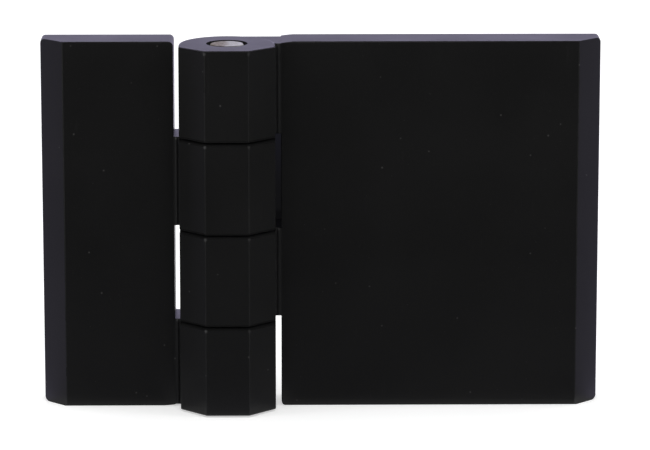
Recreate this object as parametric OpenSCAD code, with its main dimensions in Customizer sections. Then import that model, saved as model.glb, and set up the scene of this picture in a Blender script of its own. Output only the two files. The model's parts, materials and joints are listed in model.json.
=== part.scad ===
// Flat hinge: a narrow and a wide cast leaf on one steel pin, drawn open flat and standing on its lower end.
// X runs across the leaves with the wide one at +X, Y from the front to the mounting plane, Z along the pin.
// The origin is at the middle of the footprint, on the surface that the leaves stand on.

/* [Leaves] */
// Height of both leaves, along the pin
leaf_h = 60; // [36:1:120]
// Distance from the pin axis to the outer edge of the narrow leaf
narrow_w = 30; // [25:1:60]
// Distance from the pin axis to the outer edge of the wide leaf
wide_w = 60; // [50:1:120]
// Thickness of both leaves
leaf_t = 7.4; // [6:0.1:10]
// Width of the 45 degree bevel on each outer front edge
edge_bevel = 3.7; // [2:0.1:5]
// Radius of the outer corners, seen from the front
corner_r = 0.8; // [0.4:0.1:3]
// Small radius on the edges of the castings
edge_r = 0.3; // [0.1:0.05:0.5]
// Gap left between the front faces when the hinge is folded shut
fold_gap = 0.4; // [0.2:0.1:2]

/* [Barrel] */
// Number of knuckles, shared in turn from the top: wide leaf, narrow leaf
knuckle_count = 4; // [2:2:6]
// Distance from the pin axis to the front flat
barrel_front = 7.4; // [6:0.1:10]
// Distance from the pin axis to the side flats
barrel_side = 7.7; // [6.5:0.1:10]
// Width of the 45 degree bevels on both sides of the front flat
barrel_bevel = 4.2; // [2:0.1:5]
// Distance that the round back stays in front of the mounting plane
back_gap = 0.3; // [0.1:0.1:1]
// Distance that the barrel stops short of the leaf at each end
barrel_inset = 0.25; // [0:0.05:1]
// Distance that the joints between knuckles lie below an even division of the height
joint_drop = 0.2; // [0:0.05:0.5]
// Gap between two knuckles
joint_gap = 0.35; // [0.2:0.05:1]
// Clearance between a leaf's inner edge and the corners of the knuckles that turn beside it
swing_gap = 0.26; // [0.15:0.01:1]
// Distance from a leaf's inner edge to the low ridge along the foot of each of its knuckles
ridge_inset = 0.45; // [0.3:0.05:0.6]
// Height of that ridge above the leaf's front face
ridge_h = 0.15; // [0.05:0.01:0.2]
// Depth of the valley between the ridge and the knuckle, below the leaf's front face
valley_depth = 0.1; // [0.05:0.05:0.4]
// Step from the backs of the knuckles in to the backs of the webs
web_back_step = 0.05; // [0.05:0.05:1]
// Step from the ends of a knuckle in to the ends of its web
web_end_step = 0.05; // [0.05:0.05:0.5]
// Length of the ramp from the end of the barrel up to the end of the leaf that carries it there
root_ramp = 2; // [1:0.1:4]
// Radius that eases the top of that ramp
root_r = 8; // [2:1:10]

/* [Pin] */
// Diameter of the pin
pin_d = 6; // [4:0.1:7]
// Chamfer on the pin's ends
pin_chamfer = 0.45; // [0.1:0.05:0.8]
// Distance that the pin lies below the ends of the barrel
pin_recess = 0.05; // [0:0.05:1]
// Radial clearance of the pin in the narrow leaf's knuckles
pin_clearance = 0.04; // [0.02:0.01:0.1]
// Radial interference of the pin in the wide leaf's knuckles
pin_press = 0.01; // [0.005:0.005:0.02]
// Chamfer at the mouth of the bore at both ends of the barrel
mouth_chamfer = 0.3; // [0.1:0.05:0.5]

/* [Fixings] */
// Distance from a leaf's outer edge to its outer column of fixings
fixing_inset = 11; // [8:0.5:15]
// Spacing of the wide leaf's fixings across the leaf
fixing_span_x = 30; // [20:1:60]
// Spacing of both leaves' fixings along the pin
fixing_span_z = 36; // [20:1:90]
// Diameter of the blind holes, which is the outside diameter of their thread
tap_d = 6; // [3:0.1:8]
// Metal left between a blind hole and the front face
tap_floor = 1.6; // [1:0.1:3]
// Countersink at the mouth of each blind hole
tap_chamfer = 0.4; // [0.2:0.1:1]
// Diameter of the boss round each blind hole
boss_d = 11; // [8:0.5:14]

/* [Cored back] */
// Wall behind the front face, at the floor of the pockets
front_wall = 3.4; // [2:0.1:4.5]
// Width of the rim round each leaf's back
rim_w = 3; // [2:0.1:5]
// Thickness of the ribs
rib_t = 1.8; // [1.2:0.1:3]
// Radius in the corners of the pockets
pocket_r = 1; // [0.5:0.1:2]
// Diameter of the round marks that the ejector pins leave on the floors of the tall pockets
eject_d = 3.6; // [2:0.2:5]
// Depth of those marks
eject_depth = 0.12; // [0.05:0.01:0.3]

/* [Hidden] */
$fn = 64;
// Length that a cutting or trimming shape runs past what it cuts
past = 1;
// Turn of each straight step of a small rounded edge
arc_step = 22.5;
// The mounting plane seen from the pin axis, and the leaves' front faces
mount_y = leaf_t + fold_gap / 2;
front_y = fold_gap / 2;
// The round back of the barrel has the half-width as its radius, and stays in front of the mounting plane
barrel_back = min(barrel_side, mount_y - back_gap);
back_centre_y = barrel_back - barrel_side;
// Largest radius that a turning knuckle sweeps, and the leaves' inner edges outside it
sweep_r = max(
    norm([barrel_side, barrel_front - barrel_bevel]),
    norm([barrel_side - barrel_bevel, barrel_front])
);
inner_x = sweep_r + swing_gap;
// Knuckle joints
knuckle_pitch = leaf_h / knuckle_count;
barrel_low = barrel_inset;
barrel_high = leaf_h - barrel_inset;
// The pin axis in the part's own frame
depth = barrel_front + mount_y;
pin_x = (narrow_w - wide_w) / 2;
pin_y = depth / 2 - mount_y;

function unit(v) = v / norm(v);

// Points of the arc that rounds the corner b between its neighbours a and c
function corner_arc(a, b, c, r) =
    let (
        to_a = unit(a - b),
        to_c = unit(c - b),
        half = acos(to_a * to_c) / 2,
        centre = b + unit(to_a + to_c) * r / sin(half),
        first = b + to_a * r / tan(half) - centre,
        last = b + to_c * r / tan(half) - centre,
        start = atan2(first.y, first.x),
        turn = (atan2(last.y, last.x) - start + 540) % 360 - 180,
        steps = max(2, round(abs(turn) / arc_step))
    )
    [for (i = [0:steps]) centre + r * [cos(start + turn * i / steps), sin(start + turn * i / steps)]];

// An outline with a radius at each corner, where 0 leaves the corner sharp
function rounded(points, radii) =
    let (n = len(points))
    [
        for (i = [0:n - 1])
            each radii[i] > 0
                ? corner_arc(points[(i + n - 1) % n], points[i], points[(i + 1) % n], radii[i])
                : [points[i]]
    ];

// Heights of the lower and the upper end of knuckle i, counted from the bottom
function knuckle_low(i) = i == 0 ? barrel_low : knuckle_pitch * i - joint_drop + joint_gap / 2;
function knuckle_high(i) =
    i == knuckle_count - 1 ? barrel_high : knuckle_pitch * (i + 1) - joint_drop - joint_gap / 2;

// The free stretches between a low and a high wall that ribs of thickness rib_t divide
function cells(low, high, ribs) =
    let (edges = concat([low], [for (r = ribs) each [r - rib_t / 2, r + rib_t / 2]], [high]))
    [for (i = [0:2:len(edges) - 2]) [edges[i], edges[i + 1]]];

// Heights of the two rows of fixings
fixing_zs = [leaf_h / 2 - fixing_span_z / 2, leaf_h / 2 + fixing_span_z / 2];

// The leaf's outline seen from the back, with its ramp at the end where its own knuckle ends the barrel
module outline(w, ramp_up) {
    ramp_z = ramp_up ? leaf_h : 0;
    step = ramp_up ? -barrel_inset : barrel_inset;
    ramp = [[inner_x, ramp_z + step], [inner_x + root_ramp, ramp_z]];
    plain = [inner_x, leaf_h - ramp_z];
    far = [[w, ramp_z], [w, leaf_h - ramp_z]];
    polygon(rounded([ramp[0], ramp[1], far[0], far[1], plain], [0, root_r, corner_r, corner_r, corner_r]));
}

// The leaf's slab from its inner edge to its outer edge at width w, seen at +X of the pin axis
module plate(w, ramp_up) {
    across = rounded(
        [
            [inner_x, mount_y],
            [inner_x, front_y],
            [w - edge_bevel, front_y],
            [w, front_y + edge_bevel],
            [w, mount_y]
        ],
        [edge_r, edge_r, edge_r, edge_r, edge_r]
    );
    upright = rounded(
        [[front_y, 0], [mount_y, 0], [mount_y, leaf_h], [front_y, leaf_h]],
        [edge_r, edge_r, edge_r, edge_r]
    );
    intersection() {
        linear_extrude(leaf_h) polygon(across);
        translate([inner_x - past, 0, 0])
            rotate([90, 0, 90])
                linear_extrude(w - inner_x + 2 * past) polygon(upright);
        translate([0, mount_y + past, 0])
            rotate([90, 0, 0])
                linear_extrude(leaf_t + 2 * past) outline(w, ramp_up);
    }
}

// A block with rounded ends whose front flat lies at distance d in direction a, used to trim a knuckle
module trim_block(a, d, low, high) {
    reach = 2 * barrel_side + barrel_front;
    profile = rounded([[-d, low], [reach, low], [reach, high], [-d, high]], [edge_r, 0, 0, edge_r]);
    rotate([0, 0, a])
        translate([-reach, 0, 0])
            rotate([90, 0, 90])
                linear_extrude(2 * reach) polygon(profile);
}

// Section of the cut that rounds the edge at radius r and height z, for an upper end (up = 1) or a lower (-1)
function edge_cut(r, z, up) = concat(
    [for (a = [0:arc_step:90]) [r + edge_r * (cos(a) - 1), z + up * edge_r * (sin(a) - 1)]],
    [[r - edge_r, z + up * past], [r + past, z + up * past], [r + past, z - up * edge_r]]
);

// Plan of a knuckle: a flat and two bevels in front, round at the back
module knuckle_plan() {
    polygon(
        rounded(
            [
                [-barrel_side, back_centre_y],
                [-barrel_side, barrel_bevel - barrel_front],
                [barrel_bevel - barrel_side, -barrel_front],
                [barrel_side - barrel_bevel, -barrel_front],
                [barrel_side, barrel_bevel - barrel_front],
                [barrel_side, back_centre_y]
            ],
            [0, edge_r, edge_r, edge_r, edge_r, 0]
        )
    );
    translate([0, back_centre_y])
        intersection() {
            circle(r = barrel_side);
            translate([-barrel_side, 0]) square(2 * barrel_side);
        }
}

// One knuckle without its bore, with its end edges rounded
module knuckle(low, high) {
    bevel_d = (barrel_side + barrel_front - barrel_bevel) / sqrt(2);
    difference() {
        intersection() {
            translate([0, 0, low]) linear_extrude(high - low) knuckle_plan();
            trim_block(0, barrel_front, low, high);
            trim_block(-45, bevel_d, low, high);
            trim_block(45, bevel_d, low, high);
            trim_block(-90, barrel_side, low, high);
            trim_block(90, barrel_side, low, high);
        }
        translate([0, back_centre_y, 0])
            rotate_extrude(angle = 180) {
                polygon(edge_cut(barrel_side, low, -1));
                polygon(edge_cut(barrel_side, high, 1));
            }
    }
}

// The web that carries a knuckle, level with the leaf's face up to the ridge and the valley along the knuckle
module web(low, high) {
    web_back = barrel_back - web_back_step;
    crest = [inner_x - ridge_inset, front_y - ridge_h];
    valley = crest + (ridge_h + valley_depth) * [-1, 1];
    root_x = inner_x + root_ramp;
    foot = low + web_end_step;
    top = high - web_end_step;
    plan = rounded(
        [
            [0, valley.y],
            valley,
            crest,
            [inner_x, front_y],
            [root_x, front_y],
            [root_x, web_back],
            [0, web_back]
        ],
        [0, 0, ridge_h, 0, 0, 0, 0]
    );
    section = rounded(
        [[crest.y, foot], [web_back, foot], [web_back, top], [crest.y, top]],
        [edge_r, edge_r, edge_r, edge_r]
    );
    intersection() {
        translate([0, 0, low]) linear_extrude(high - low) polygon(plan);
        rotate([90, 0, 90])
            linear_extrude(root_x) polygon(section);
    }
}

// Every second knuckle from the first one given, with its web
module knuckles(first) {
    for (i = [first:2:knuckle_count - 1]) {
        knuckle(knuckle_low(i), knuckle_high(i));
        web(knuckle_low(i), knuckle_high(i));
    }
}

// Bore through the whole barrel, with its chamfered mouths
module barrel_bore(r) {
    translate([0, 0, -past]) cylinder(r = r, h = leaf_h + 2 * past);
    mouth_r = r + mouth_chamfer;
    translate([0, 0, barrel_high - mouth_chamfer])
        cylinder(r1 = r, r2 = mouth_r + past, h = mouth_chamfer + past);
    translate([0, 0, barrel_low - past])
        cylinder(r1 = mouth_r + past, r2 = r, h = mouth_chamfer + past);
}

// One pocket of the cored back, with round corners
module pocket(xs, zs) {
    outline = rounded(
        [[xs[0], zs[0]], [xs[1], zs[0]], [xs[1], zs[1]], [xs[0], zs[1]]],
        [pocket_r, pocket_r, pocket_r, pocket_r]
    );
    translate([0, mount_y + past, 0])
        rotate([90, 0, 0])
            linear_extrude(leaf_t - front_wall + past) polygon(outline);
}

// All pockets of a leaf of width w, round its ribs and bosses, with an ejector mark in each tall one
module pockets(w, fixing_xs, rib_xs) {
    rib_zs = [fixing_zs[0], leaf_h / 2, fixing_zs[1]];
    columns = cells(inner_x + rim_w, w - rim_w, rib_xs);
    difference() {
        union() {
            for (xs = columns, zs = cells(rim_w, leaf_h - rim_w, rib_zs))
                pocket(xs, zs);
            for (xs = columns, z = [for (i = [0, 1]) (rib_zs[i] + rib_zs[i + 1]) / 2])
                translate([(xs[0] + xs[1]) / 2, front_y + front_wall - eject_depth, z])
                    rotate([-90, 0, 0]) cylinder(d = eject_d, h = leaf_t - front_wall + eject_depth + past);
        }
        for (x = fixing_xs, z = fixing_zs)
            translate([x, 0, z])
                rotate([-90, 0, 0]) cylinder(d = boss_d, h = mount_y + 2 * past);
    }
}

// The blind holes for the fixing screws, drilled from the mounting plane
module taps(fixing_xs) {
    for (x = fixing_xs, z = fixing_zs)
        translate([x, front_y + tap_floor, z])
            rotate([-90, 0, 0]) {
                cylinder(d = tap_d, h = leaf_t);
                translate([0, 0, leaf_t - tap_floor - tap_chamfer])
                    cylinder(d1 = tap_d, d2 = tap_d + 2 * (tap_chamfer + past), h = tap_chamfer + past);
            }
}

// One casting at +X of the pin axis, with every second knuckle from the first one given
module leaf(w, first, bore_r, fixing_xs, rib_xs) {
    difference() {
        union() {
            plate(w, first > 0);
            knuckles(first);
        }
        barrel_bore(bore_r);
        pockets(w, fixing_xs, rib_xs);
        taps(fixing_xs);
    }
}

module wide_leaf() {
    outer_x = wide_w - fixing_inset;
    near_x = outer_x - fixing_span_x;
    color("#161616")
        translate([pin_x, pin_y, 0])
            leaf(
                wide_w,
                1,
                pin_d / 2 - pin_press,
                [near_x, outer_x],
                [near_x, (near_x + outer_x) / 2, outer_x]
            );
}

module narrow_leaf() {
    fixing_x = narrow_w - fixing_inset;
    color("#161616")
        translate([pin_x, pin_y, 0])
            mirror([1, 0, 0]) leaf(narrow_w, 0, pin_d / 2 + pin_clearance, [fixing_x], [fixing_x]);
}

module hinge_pin() {
    low = barrel_low + pin_recess;
    high = barrel_high - pin_recess;
    r = pin_d / 2;
    color("#9b9b9b")
        translate([pin_x, pin_y, 0])
            rotate_extrude()
                polygon([
                    [0, low],
                    [r - pin_chamfer, low],
                    [r, low + pin_chamfer],
                    [r, high - pin_chamfer],
                    [r - pin_chamfer, high],
                    [0, high]
                ]);
}

wide_leaf();
narrow_leaf();
hinge_pin();
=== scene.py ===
"""The looks of a black powder-coated flat hinge: camera, studio, finishes and threads in its fixing holes."""
import json
import math

import bpy
import numpy as np
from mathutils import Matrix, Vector


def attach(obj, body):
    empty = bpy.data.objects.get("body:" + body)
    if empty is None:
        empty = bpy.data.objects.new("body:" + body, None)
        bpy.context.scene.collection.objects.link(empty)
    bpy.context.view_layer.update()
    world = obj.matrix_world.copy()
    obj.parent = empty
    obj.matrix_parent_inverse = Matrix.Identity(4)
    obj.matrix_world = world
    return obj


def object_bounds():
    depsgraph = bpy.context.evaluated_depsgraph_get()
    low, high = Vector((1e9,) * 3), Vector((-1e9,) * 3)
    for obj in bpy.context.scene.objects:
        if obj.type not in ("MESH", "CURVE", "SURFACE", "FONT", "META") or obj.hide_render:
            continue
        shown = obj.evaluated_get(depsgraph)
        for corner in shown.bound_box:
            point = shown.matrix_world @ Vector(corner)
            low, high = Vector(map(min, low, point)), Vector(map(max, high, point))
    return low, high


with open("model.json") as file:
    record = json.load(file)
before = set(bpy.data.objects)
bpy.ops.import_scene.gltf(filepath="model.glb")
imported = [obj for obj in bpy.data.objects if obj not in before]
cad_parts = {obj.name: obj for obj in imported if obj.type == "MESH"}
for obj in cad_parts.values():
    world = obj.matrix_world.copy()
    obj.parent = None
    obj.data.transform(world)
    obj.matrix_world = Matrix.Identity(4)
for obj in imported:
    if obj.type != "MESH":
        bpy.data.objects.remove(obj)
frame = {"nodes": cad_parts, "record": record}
cad_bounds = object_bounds()

MM = 0.001
IMAGE_W = 650
SENSOR = 36.0

# Camera: where it looks, how far away it stands and the angles that the photograph was taken from
AIM = Vector((0.66 * MM, 0.0, 30.05 * MM))
CAMERA_DISTANCE = 0.65
CAMERA_AZIMUTH = math.radians(-0.66)
CAMERA_ELEVATION = math.radians(12.25)
PIXELS_PER_METRE = 6207.0

# The pin's axis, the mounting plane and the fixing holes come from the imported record
mounts = {mount["name"]: mount for mount in frame["record"]["mounts"]}
PIN_X, PIN_Y, _ = frame["record"]["behaviour"]["joints"][0]["pos_m"]
MOUNT_Y = mounts["mounting_face"]["pos_m"][1]
HOLE_R = mounts["wide_leaf_fixings"]["dims"]["hole_r_mm"] * MM
# How deep the fixing holes are, and the chamfer at their mouths
HOLE_DEPTH = 5.8 * MM
COUNTERSINK = 0.4 * MM

# The knuckles repeat upwards, so heights on them are folded into one span, from FOLD_LOW up
KNUCKLE_PITCH = 15.0 * MM
FOLD_LOW = 7.0 * MM
# The middle of a joint in folded height, and a height above the last joint
JOINT_Z = 14.83 * MM
ABOVE_JOINTS = 58.0 * MM
# Painted highlights on the knuckles' corners and the webs' ends: distance aside from the pin, Y and folded
# height, and how far each highlight reaches
KNUCKLE_CORNER = (3.50 * MM, -7.40 * MM, 14.25 * MM)
CORNER_REACH = 0.38 * MM
WEB_END = (8.05 * MM, -0.05 * MM, 14.45 * MM)
WEB_REACH = 0.55 * MM

# Soft borders of the painted light and shade and of the duller coat: none at the first value, rising to all
# of it at the second.
# Distances aside from the pin, of the valley along the feet of the knuckles and of the knuckles' sides
VALLEY_INSIDE = (7.4 * MM, 7.6 * MM)
VALLEY_OUTSIDE = (8.2 * MM, 8.0 * MM)
KNUCKLE_SIDE = (7.9 * MM, 7.7 * MM)
# The valley's front and back
VALLEY_FRONT = (-0.7 * MM, -0.2 * MM)
VALLEY_BACK = (1.2 * MM, 0.6 * MM)
# Heights off the middle of a joint: its rounded lips, and its open gap
JOINT_LIPS = (0.55 * MM, 0.40 * MM)
JOINT_GAP = (0.22 * MM, 0.19 * MM)
# Radii from the pin's axis: the mouth of the bore, and the pin's chamfer
BORE_MOUTH = (3.40 * MM, 3.25 * MM)
PIN_CHAMFER = (2.60 * MM, 2.78 * MM)

# The slot beside the second knuckle, and the cards just behind the mounting plane there: a dark card of
# painted shade, and a black card that only reflections see
SLOT_LEFT, SLOT_RIGHT = PIN_X + 7.4 * MM, PIN_X + 9.0 * MM
SLOT_LOW, SLOT_TOP = 28.9 * MM, 45.4 * MM
SLOT_CARD_Y = MOUNT_Y + 0.05 * MM
SLOT_BLACK_Y = MOUNT_Y + 0.1 * MM

# The box of cards around the hinge: the height of the cards on the floor, the top, the front and the back,
# half the width, where the lavender begins at the sides, and where the black ceiling ends
CARD_Z, CARD_TOP = 0.05 * MM, 1.6
FAR, BACK = -1.3, 1.0
WIDE, ASIDE, OVERHEAD = 1.3, 0.3, 0.7
# Just past the standing hinge's ends, and the Y where its outer bevels end
END = cad_bounds[1].x + 0.5 * MM
BEVEL_Y = 2.0 * MM
LAVENDER = (0.90, 0.84, 1.18, 1)


class Graph:
    """A material's node tree with short calls for the nodes that the finishes use."""

    def __init__(self, name, world=False):
        self.owner = (bpy.data.worlds if world else bpy.data.materials).new(name)
        self.owner.use_nodes = True
        self.tree = self.owner.node_tree
        self.tree.nodes.clear()
        self.out = self.tree.nodes.new("ShaderNodeOutputWorld" if world else "ShaderNodeOutputMaterial")

    def add(self, kind, values=(), **settings):
        node = self.tree.nodes.new("ShaderNode" + kind)
        for key, value in settings.items():
            setattr(node, key, value)
        for key, value in dict(values).items():
            if isinstance(value, bpy.types.NodeSocket):
                self.tree.links.new(value, node.inputs[key])
            else:
                node.inputs[key].default_value = value
        return node

    def math(self, operation, a, b=0.0, c=0.0):
        return self.add("Math", {0: a, 1: b, 2: c}, operation=operation).outputs[0]

    def ramp(self, value, low, high, to_low=0.0, to_high=1.0):
        """Value taken from the span low..high to the span to_low..to_high, smoothly and no further."""
        node = self.add(
            "MapRange",
            {"Value": value, "From Min": low, "From Max": high, "To Min": to_low, "To Max": to_high},
            interpolation_type="SMOOTHSTEP",
        )
        return node.outputs["Result"]

    def noise(self, place, scale, detail=2.0, roughness=0.5):
        values = {"Vector": place, "Scale": scale, "Detail": detail, "Roughness": roughness}
        return self.add("TexNoise", values).outputs["Fac"]

    def mix(self, factor, a, b):
        """The colour a where factor is 0 and b where it is 1."""
        node = self.add("Mix", data_type="RGBA")
        for socket, value in ((node.inputs["Factor"], factor), (node.inputs[6], a), (node.inputs[7], b)):
            if isinstance(value, bpy.types.NodeSocket):
                self.tree.links.new(value, socket)
            else:
                socket.default_value = value
        return node.outputs[2]

    def place(self):
        """The point on the object, in metres."""
        return self.add("TexCoord").outputs["Object"]

    def split(self, vector):
        """The vector's three values, under "X", "Y" and "Z"."""
        return self.add("SeparateXYZ", {"Vector": vector}).outputs

    def length(self, vector):
        return self.add("VectorMath", {0: vector}, operation="LENGTH").outputs["Value"]

    def distance(self, values, point):
        """How far a place lies from a point, both given as two or three values."""
        shift = {axis: self.math("SUBTRACT", v, p) for axis, v, p in zip("XYZ", values, point)}
        return self.length(self.add("CombineXYZ", shift).outputs[0])

    def aside_pin(self, x):
        """How far a place lies to either side of the pin."""
        return self.math("ABSOLUTE", self.math("SUBTRACT", x, PIN_X))

    def stretched(self, place, scale, turn=0.0):
        mapping = self.add("Mapping", {"Vector": place, "Scale": scale, "Rotation": (0.0, turn, 0.0)})
        return mapping.outputs["Vector"]

    def surface(self, shader):
        self.tree.links.new(shader, self.out.inputs["Surface"])
        return self.owner


def make_camera():
    data = bpy.data.cameras.new("camera")
    data.sensor_width = SENSOR
    data.lens = PIXELS_PER_METRE * CAMERA_DISTANCE / IMAGE_W * SENSOR
    camera = bpy.data.objects.new("camera", data)
    away = Vector((
        math.sin(CAMERA_AZIMUTH) * math.cos(CAMERA_ELEVATION),
        -math.cos(CAMERA_AZIMUTH) * math.cos(CAMERA_ELEVATION),
        math.sin(CAMERA_ELEVATION),
    ))
    camera.location = AIM + away * CAMERA_DISTANCE
    camera.rotation_euler = (-away).to_track_quat("-Z", "Y").to_euler()
    bpy.context.scene.collection.objects.link(camera)
    bpy.context.scene.camera = camera


def specks(g, place, scale, radius, share):
    """Round dots: 1 inside a dot. Each cell of the pattern has one with the given likelihood."""
    cells = g.add("TexVoronoi", {"Vector": place, "Scale": scale}, feature="F1")
    chosen = g.math("LESS_THAN", g.add("SeparateColor", {"Color": cells.outputs["Color"]}).outputs[0], share)
    near = g.ramp(cells.outputs["Distance"], radius, radius * 0.35)
    return g.math("MULTIPLY", chosen, near)


def scratches(g, place, turn, seed, fineness):
    """Short hairline scratches along one direction: 1 on a scratch."""
    along = g.stretched(place, (1.0, 1.0, 0.035), turn)
    shifted = g.add("VectorMath", {0: along, 1: (seed, seed * 1.7, seed * 0.6)}, operation="ADD").outputs[0]
    line = g.noise(shifted, fineness, detail=1.0)
    thin = g.ramp(g.math("ABSOLUTE", g.math("SUBTRACT", line, 0.5)), 0.006, 0.001)
    here = g.ramp(g.noise(place, 140.0 + seed * 9.0, detail=1.0), 0.60, 0.68)
    return g.math("MULTIPLY", thin, here)


def near_point(g, values, point, reach):
    """1 at a point, falling to 0 at the given reach from it."""
    return g.ramp(g.distance(values, point), reach, reach * 0.3)


def powder_coat():
    g = Graph("black_powder_coat")
    place = g.place()
    spot = g.split(place)
    aside_pin = g.aside_pin(spot["X"])
    edge = g.add("Attribute", attribute_name="edge").outputs["Fac"]

    # Slow unevenness of the coat, its orange peel and its grain
    cloud = g.noise(place, 60.0, detail=3.0)
    peel = g.noise(place, 1300.0, detail=2.0)
    grain = g.noise(place, 7000.0, detail=2.0, roughness=0.6)
    dust = g.math("MAXIMUM", specks(g, place, 420.0, 0.08, 0.40), specks(g, place, 1500.0, 0.11, 0.06))
    hair = g.math("MAXIMUM", scratches(g, place, 0.5, 3.1, 900.0), scratches(g, place, -0.9, 7.7, 700.0))

    black = g.mix(g.ramp(cloud, 0.3, 0.7), (0.0075, 0.0075, 0.0076, 1), (0.0088, 0.0088, 0.0089, 1))
    grained = g.mix(g.ramp(grain, 0.35, 0.75, 0.0, 0.5), black, (0.0135, 0.0135, 0.0136, 1))
    # Rounded edges are lighter: partly wear, partly a painted highlight standing in for the thin light lines
    # that they catch
    edge_wear_and_sheen = g.math("MULTIPLY", g.ramp(edge, 0.6, 0.9), g.ramp(peel, 0.2, 0.6, 0.5, 1.0))
    edged = g.mix(edge_wear_and_sheen, grained, (0.0155, 0.0155, 0.0158, 1))
    scratched = g.mix(g.math("MULTIPLY", hair, 0.25), edged, (0.020, 0.020, 0.020, 1))
    # Tiny pale specks are painted glints of the coat's grain
    with_painted_glints = g.mix(specks(g, place, 2600.0, 0.16, 0.16), scratched, (0.030, 0.030, 0.030, 1))
    dusty = g.mix(dust, with_painted_glints, (0.055, 0.054, 0.052, 1))

    # Painted light: the valleys along the feet of the knuckles are made lighter, lifting the shade that falls
    # there
    across = g.math("MULTIPLY", g.ramp(aside_pin, *VALLEY_INSIDE), g.ramp(aside_pin, *VALLEY_OUTSIDE))
    deep = g.math("MULTIPLY", g.ramp(spot["Y"], *VALLEY_FRONT), g.ramp(spot["Y"], *VALLEY_BACK))
    valley_painted_light = g.math("MULTIPLY", across, g.math("MULTIPLY", deep, g.ramp(peel, 0.3, 0.6, 0.6, 1.0)))
    with_valley_light = g.mix(valley_painted_light, dusty, (0.026, 0.026, 0.027, 1))

    # Painted highlights on the upper front corners of the knuckles, brighter on the left ones as the light
    # comes more from there, and on the upper ends of the ridges on the webs
    level = g.math("WRAP", spot["Z"], FOLD_LOW + KNUCKLE_PITCH, FOLD_LOW)
    folded = (aside_pin, spot["Y"], level)
    corner = near_point(g, folded, KNUCKLE_CORNER, CORNER_REACH)
    web_end = near_point(g, folded, WEB_END, WEB_REACH)
    lit_more_on_left = g.ramp(spot["X"], PIN_X - 1.0 * MM, PIN_X + 1.0 * MM, 1.0, 0.4)
    painted_corner_highlights = g.math("MULTIPLY", g.math("MAXIMUM", corner, g.math("MULTIPLY", web_end, 0.9)), lit_more_on_left)
    with_corner_highlights = g.mix(painted_corner_highlights, with_valley_light, (0.052, 0.052, 0.052, 1))

    # Painted light lifts the shade inside the joints between the knuckles, where the coat is also dull, and
    # dull grime lies in the ring around the pin's ends
    off_joint = g.math("ABSOLUTE", g.math("SUBTRACT", level, JOINT_Z))
    by_joint = g.math("MULTIPLY", g.ramp(off_joint, *JOINT_LIPS), g.ramp(aside_pin, *KNUCKLE_SIDE))
    joint = g.math("MULTIPLY", by_joint, g.math("LESS_THAN", spot["Z"], ABOVE_JOINTS))
    joint_painted_light = g.math("MULTIPLY", joint, g.ramp(off_joint, *JOINT_GAP))
    with_joint_light = g.mix(joint_painted_light, with_corner_highlights, (0.040, 0.040, 0.042, 1))
    radius = g.distance((spot["X"], spot["Y"]), (PIN_X, PIN_Y))
    dull = g.math("MAXIMUM", joint, g.ramp(radius, *BORE_MOUTH))
    shine = g.ramp(dull, 0.0, 1.0, 0.2, 0.0)

    # Rounded edges are rubbed smoother
    rough = g.math("ADD", g.ramp(cloud, 0.3, 0.7, 0.40, 0.46), g.ramp(edge, 0.1, 0.4, 0.0, -0.18))
    height = g.math("ADD", peel, g.math("MULTIPLY", grain, 0.25))
    bump = g.add("Bump", {"Height": height, "Strength": 0.25, "Distance": 0.03 * MM})
    shader = g.add("BsdfPrincipled", {
        "Base Color": with_joint_light, "Roughness": rough,
        "Specular IOR Level": shine, "Normal": bump.outputs["Normal"],
    })
    return g.surface(shader.outputs[0])


def turned_steel():
    """Steel turned on a lathe, with its fine rings centred on the pin's axis, one half painted a little
    darker and warmer as shade, and painted shade on its chamfer.
    """
    g = Graph("pin_steel")
    place = g.place()
    spot = g.split(place)
    radius = g.distance((spot["X"], spot["Y"]), (PIN_X, PIN_Y))
    half_border_noise = g.noise(place, 900.0, detail=3.0)
    wobble = g.math("MULTIPLY", g.noise(place, 900.0), 0.06 * MM)
    turn = g.math("MULTIPLY", g.math("ADD", radius, wobble), 2 * math.pi / (0.16 * MM))
    rings = g.math("SINE", turn)
    ringed = g.mix(g.ramp(rings, -1.0, 1.0), (0.244, 0.257, 0.180, 1), (0.371, 0.390, 0.273, 1))
    # Painted shade: one half is a little darker and warmer than the other, standing in for the uneven
    # reflection of the turned end
    uneven = g.math("MULTIPLY", g.math("SUBTRACT", half_border_noise, 0.5), 2.5 * MM)
    side = g.math("ADD", g.math("SUBTRACT", spot["X"], PIN_X), uneven)
    painted_shade_half = g.ramp(side, 0.6 * MM, -0.9 * MM)
    half_shaded = g.mix(painted_shade_half, ringed, (0.070, 0.064, 0.034, 1))
    tint = g.mix(painted_shade_half, (1.0, 1.0, 0.98, 1), (0.92, 0.88, 0.75, 1))
    # Painted shade darkens the chamfer in the ring around the pin's end and makes it less metallic, but for
    # the front
    toward_front = g.ramp(spot["Y"], PIN_Y - 0.8 * MM, PIN_Y - 1.8 * MM)
    painted_chamfer_shade = g.math("MULTIPLY", g.ramp(radius, *PIN_CHAMFER), g.math("SUBTRACT", 1.0, toward_front))
    chamfer_shaded = g.mix(painted_chamfer_shade, half_shaded, (0.012, 0.012, 0.014, 1))
    rough = g.ramp(g.noise(place, 2200.0, detail=2.0), 0.3, 0.7, 0.28, 0.42)
    bump = g.add("Bump", {"Height": rings, "Strength": 0.3, "Distance": 0.01 * MM})
    shader = g.add("BsdfPrincipled", {
        "Base Color": chamfer_shaded, "Metallic": g.math("SUBTRACT", 1.0, painted_chamfer_shade), "Roughness": rough,
        "Specular IOR Level": 0.0, "Specular Tint": tint, "Normal": bump.outputs["Normal"],
    })
    return g.surface(shader.outputs[0])


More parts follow.
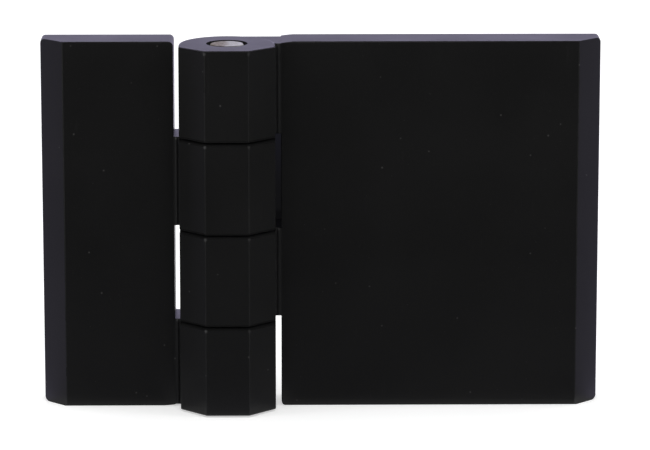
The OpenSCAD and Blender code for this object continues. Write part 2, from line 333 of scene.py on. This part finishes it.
def bare_zinc():
    """Cast zinc laid bare where the threads were cut through the coat."""
    g = Graph("bare_zinc")
    place = g.place()
    shade = g.noise(place, 2500.0, detail=3.0)
    grey = g.mix(g.ramp(shade, 0.3, 0.7), (0.33, 0.34, 0.36, 1), (0.47, 0.48, 0.50, 1))
    rough = g.ramp(g.noise(place, 4000.0), 0.3, 0.7, 0.35, 0.5)
    shader = g.add("BsdfPrincipled", {"Base Color": grey, "Metallic": 1.0, "Roughness": rough})
    return g.surface(shader.outputs[0])


def face_values(mesh, name, width=1, kind=np.float64):
    """One property of every face of a mesh, as an array with one row for each face."""
    values = np.zeros(len(mesh.polygons) * width, kind)
    mesh.polygons.foreach_get(name, values)
    return values.reshape(-1, width) if width > 1 else values


def mark_edges(mesh):
    """Stores 1 on upright rounded edges, 0.5 on other rounded edges and 0 elsewhere."""
    normals = face_values(mesh, "normal", 3)
    x, y, z = np.abs(normals).T
    flat = np.maximum(np.maximum(x, y), z) > 0.999
    bevel = (np.abs(x - y) < 0.01) & (z < 0.01)
    # Walls that run along Y, such as holes and pocket corners, and upright round walls that face back
    round_wall = (y < 0.02) | ((z < 0.02) & (normals[:, 1] > 0.0))
    edge = np.where(z < 0.01, 1.0, 0.5)
    edge = np.where(flat | bevel | round_wall, 0.0, edge).astype(np.float32)
    layer = mesh.attributes.new("edge", "FLOAT", "CORNER")
    layer.data.foreach_set("value", np.repeat(edge, face_values(mesh, "loop_total", kind=np.int32)))


def smooth_normals(mesh, limit=math.radians(35.0)):
    """Shades the stepped small radii and curved walls as round, and keeps the flats flat."""
    normals = face_values(mesh, "normal", 3)
    areas = face_values(mesh, "area")
    owner = np.repeat(np.arange(len(areas)), face_values(mesh, "loop_total", kind=np.int32))
    corners = np.zeros(len(mesh.loops), np.int32)
    mesh.loops.foreach_get("vertex_index", corners)
    points = np.zeros(len(mesh.vertices) * 3)
    mesh.vertices.foreach_get("co", points)
    # Corners at the same place form a group, in which faces turned by less than the limit share a normal
    same_place = 0.002 * MM
    _, spot = np.unique(np.round(points.reshape(-1, 3) / same_place), axis=0, return_inverse=True)
    spots = spot.ravel()[corners]
    order = np.argsort(spots, kind="stable")
    starts = np.flatnonzero(np.r_[True, np.diff(spots[order]) > 0])
    smooth = normals[owner]
    for group in np.split(order, starts[1:]):
        faces = owner[group]
        near = normals[faces] @ normals[faces].T > math.cos(limit)
        total = near @ (normals[faces] * areas[faces, None])
        smooth[group] = total / np.linalg.norm(total, axis=1, keepdims=True)
    mesh.shade_smooth()
    mesh.normals_split_custom_set([tuple(n) for n in smooth])


def finish_nodes(coat, steel):
    for name, piece in frame["nodes"].items():
        mark_edges(piece.data)
        smooth_normals(piece.data)
        piece.data.materials.clear()
        piece.data.materials.append(steel if name == "hinge_pin" else coat)


def hole_places(mount):
    """The X and Z of each hole in a bolt pattern of the record."""
    x, _, z = mount["pos_m"]
    half_x = mount["dims"].get("spacing_x_mm", 0) * MM / 2
    half_z = mount["dims"]["spacing_y_mm"] * MM / 2
    return [(i, j) for i in sorted({x - half_x, x + half_x}) for j in (z - half_z, z + half_z)]


def thread(name, mount, body, material):
    """The cut thread in a leaf's blind holes: a helical ridge that stands in from each hole's wall."""
    pitch, height = 1.0 * MM, 0.46 * MM
    # Half-widths of the ridge at the wall and at its crest
    foot, crest = 0.46 * pitch, 0.07 * pitch
    # The ridge stays clear of the hole's bottom and of the chamfer at its mouth
    low = MOUNT_Y - HOLE_DEPTH + 0.7 * MM
    high = MOUNT_Y - COUNTERSINK - 0.2 * MM
    # It rises out of the wall and sinks back into it by this much of its height in a turn
    slope = 1.5
    steps = 40
    count = int((high - low) / pitch * steps)
    points, faces = [], []
    for x, z in hole_places(mount):
        first = len(points)
        for i in range(count + 1):
            a = 2 * math.pi * i / steps
            fade = min(1.0, i / steps * slope, (count - i) / steps * slope)
            inner = HOLE_R - height * fade
            y = low + pitch * i / steps
            for radius, shift in ((HOLE_R, -foot), (inner, -crest), (inner, crest), (HOLE_R, foot)):
                across, up = radius * math.cos(a), radius * math.sin(a)
                points.append((x + across, y + shift * max(fade, 0.05), z + up))
        for i in range(count):
            for j in range(3):
                a = first + i * 4 + j
                faces.append((a, a + 1, a + 5, a + 4))
    mesh = bpy.data.meshes.new(name)
    mesh.from_pydata(points, [], faces)
    mesh.materials.append(material)
    piece = bpy.data.objects.new(name, mesh)
    bpy.context.scene.collection.objects.link(piece)
    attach(piece, body)


def seen_directly(g):
    """1 for camera, glossy and transmission rays, which see the white background as it is, 0 for others."""
    path = g.add("LightPath").outputs
    seen = g.math("MAXIMUM", path["Is Camera Ray"], path["Is Glossy Ray"])
    return g.math("MAXIMUM", seen, path["Is Transmission Ray"])


def stage_mesh(name, quads, material, only_reflected=False):
    mesh = bpy.data.meshes.new(name)
    points = [p for quad in quads for p in quad]
    mesh.from_pydata(points, [], [tuple(range(i, i + 4)) for i in range(0, len(points), 4)])
    mesh.materials.append(material)
    piece = bpy.data.objects.new(name, mesh)
    if only_reflected:
        piece.visible_camera = False
        piece.visible_diffuse = False
        piece.visible_transmission = False
        piece.visible_shadow = False
    bpy.context.scene.collection.objects.link(piece)


def make_floor():
    g = Graph("floor")
    paper = g.add("BsdfDiffuse", {"Color": (0.8, 0.8, 0.8, 1)})
    # The paper stays white far from the lamps
    white = g.ramp(g.length(g.place()), 0.2, 1.2, 0.48, 0.8)
    glow = g.add("Emission", {"Strength": g.math("MULTIPLY", seen_directly(g), white)})
    total = g.add("AddShader", {0: paper.outputs[0], 1: glow.outputs[0]})
    half = 4.0
    quad = (-half, -half, 0), (half, -half, 0), (half, half, 0), (-half, half, 0)
    stage_mesh("floor", [quad], g.surface(total.outputs[0]))


def make_world():
    """White where it is seen or reflected, and dimmer as a light."""
    g = Graph("studio", world=True)
    white = g.add("Background", {"Color": (1, 1, 1, 1), "Strength": 1.0})
    plain = g.add("Background", {"Color": (1, 1, 1, 1), "Strength": 0.45})
    mix = g.add("MixShader", {0: seen_directly(g), 1: plain.outputs[0], 2: white.outputs[0]})
    g.surface(mix.outputs[0])
    bpy.context.scene.world = g.owner


def upright(x0, y0, x1, y1, low, top):
    return (x0, y0, low), (x1, y1, low), (x1, y1, top), (x0, y0, top)


def lying(x0, x1, front, back0, back1, z):
    """A level quad, whose back edge may run aslant from back0 at x0 to back1 at x1."""
    return (x0, front, z), (x1, front, z), (x1, back1, z), (x0, back0, z)


def glowing_card(name, quads, colour, strength):
    g = Graph(name)
    glow = g.add("Emission", {"Color": colour, "Strength": strength})
    stage_mesh(name, quads, g.surface(glow.outputs[0]), only_reflected=True)


def make_dark_floor():
    """A black floor card, paler close to the hinge, as a white floor is that a dark surround closes in."""
    g = Graph("dark_floor")
    spot = g.split(g.place())
    aside_pin = g.aside_pin(spot["X"])
    near = g.math("MULTIPLY", g.ramp(spot["Y"], -100 * MM, -10 * MM), g.ramp(aside_pin, 130 * MM, 50 * MM))
    foot = g.math("MULTIPLY", g.ramp(spot["Y"], -22 * MM, -9 * MM), g.ramp(aside_pin, 11 * MM, 9 * MM))
    strength = g.math("ADD", g.math("MULTIPLY", near, 0.14), g.math("MULTIPLY", foot, 0.3))
    glow = g.add("Emission", {"Color": (0.94, 0.94, 1.12, 1), "Strength": strength})
    # It is cut to the outline of the standing hinge and starts just in front of it
    left, right = PIN_X - 9.5 * MM, PIN_X + 9.5 * MM
    by_leaf, by_barrel = -2.0 * MM, -9.3 * MM
    stage_mesh("dark_floor", [
        lying(-WIDE, -END, FAR, ASIDE, BEVEL_Y, CARD_Z),
        lying(-END, left, FAR, by_leaf, by_leaf, CARD_Z),
        lying(left, right, FAR, by_barrel, by_barrel, CARD_Z),
        lying(right, END, FAR, by_leaf, by_leaf, CARD_Z),
        lying(END, WIDE, FAR, BEVEL_Y, ASIDE, CARD_Z),
    ], g.surface(glow.outputs[0]), only_reflected=True)


def make_black_cards():
    """Black walls and a ceiling in front of the hinge, and a small card behind the slot's left side."""
    g = Graph("black_cards")
    black = g.add("BsdfDiffuse", {"Color": (0.01, 0.01, 0.01, 1)})
    stage_mesh("black_cards", [
        upright(-WIDE, FAR, WIDE, FAR, CARD_Z, CARD_TOP),
        upright(-WIDE, FAR, -WIDE, ASIDE, CARD_Z, CARD_TOP),
        upright(WIDE, FAR, WIDE, ASIDE, CARD_Z, CARD_TOP),
        lying(-WIDE, WIDE, FAR, OVERHEAD, OVERHEAD, CARD_TOP),
        upright(PIN_X + 1.5 * MM, SLOT_BLACK_Y, SLOT_LEFT, SLOT_BLACK_Y, SLOT_LOW, SLOT_TOP),
    ], g.surface(black.outputs[0]), only_reflected=True)


def make_lavender_cards():
    """Lavender behind the hinge: walls, and the floor that its bevels reflect."""
    glowing_card("lavender_card", [
        upright(-WIDE, BACK, WIDE, BACK, CARD_Z, CARD_TOP),
        upright(-WIDE, ASIDE, -WIDE, BACK, CARD_Z, CARD_TOP),
        upright(WIDE, ASIDE, WIDE, BACK, CARD_Z, CARD_TOP),
    ], LAVENDER, 1.17)
    glowing_card("lavender_floor", [
        ((-WIDE, ASIDE, CARD_Z), (-END, BEVEL_Y, CARD_Z), (-END, BACK, CARD_Z), (-WIDE, BACK, CARD_Z)),
        ((END, BEVEL_Y, CARD_Z), (WIDE, ASIDE, CARD_Z), (WIDE, BACK, CARD_Z), (END, BACK, CARD_Z)),
    ], LAVENDER, 1.50)


def ray(azimuth, reach, z):
    """A point at height z, seen from the pin, at an angle from straight ahead, positive to the right."""
    return PIN_X + reach * math.sin(azimuth), -reach * math.cos(azimuth), z


def make_strips():
    """White strips that widen with their distance and light the knuckles' upright edges with a thin line."""
    start, reach, z = 0.12, 0.8, 2 * CARD_Z
    near, far = math.radians(5.0), math.radians(9.0)
    for name, azimuth, strength in (("left", -45.0, 2.0), ("right", 45.0, 0.6)):
        a = math.radians(azimuth)
        foot = ray(a - near, start, z), ray(a + near, start, z)
        end = ray(a + far, reach, z), ray(a - far, reach, z)
        glowing_card(name + "_strip", [foot + end], (1, 1, 1, 1), strength)


def make_slot_card():
    """The slot is open to the back. The photograph shows something dark behind it, darkest at its foot: this
    card is painted shade, a dark sheet that glows faintly, darker towards its foot.
    """
    g = Graph("slot_painted_shade")
    height = g.split(g.place())["Z"]
    low, high = (0.0060, 0.0060, 0.0067, 1), (0.0092, 0.0092, 0.0128, 1)
    shade = g.mix(g.ramp(height, 33.0 * MM, SLOT_TOP), low, high)
    glow = g.add("Emission", {"Color": shade, "Strength": g.ramp(height, 30.5 * MM, 31.4 * MM, 0.6, 1.0)})
    quad = upright(SLOT_LEFT, SLOT_CARD_Y, SLOT_RIGHT, SLOT_CARD_Y, SLOT_LOW, SLOT_TOP)
    stage_mesh("slot_painted_shade", [quad], g.surface(glow.outputs[0]))


def area_light(name, place, aim, size, power):
    data = bpy.data.lights.new(name, "AREA")
    data.shape = "RECTANGLE"
    data.size, data.size_y = size
    data.energy = power
    light = bpy.data.objects.new(name, data)
    light.location = place
    light.rotation_euler = (Vector(aim) - Vector(place)).to_track_quat("-Z", "Y").to_euler()
    bpy.context.scene.collection.objects.link(light)
    return light


make_camera()
bpy.context.scene.view_settings.view_transform = "Standard"
zinc = bare_zinc()
finish_nodes(powder_coat(), turned_steel())
thread("wide_threads", mounts["wide_leaf_fixings"], "fixed_leaf", zinc)
thread("narrow_threads", mounts["narrow_leaf_fixings"], "swing_leaf", zinc)
make_floor()
make_world()
# Cards that the black object reflects
make_dark_floor()
make_black_cards()
make_lavender_cards()
make_strips()
make_slot_card()
# The lamp overhead would show in the pin's polished end, so it isn't reflected
area_light("top_softbox", (0.0, 0.1, 0.9), (0, 0, 0), (0.7, 0.7), 3.8).visible_glossy = False
area_light("front_softbox", (0.08, -0.75, 0.62), (0, 0, 0.03), (0.6, 0.4), 1.3)
area_light("left_softbox", (-0.85, -0.25, 0.40), (0, 0, 0.03), (0.2, 0.7), 1.1)
area_light("right_softbox", (0.85, -0.25, 0.40), (0, 0, 0.03), (0.2, 0.7), 1.3)
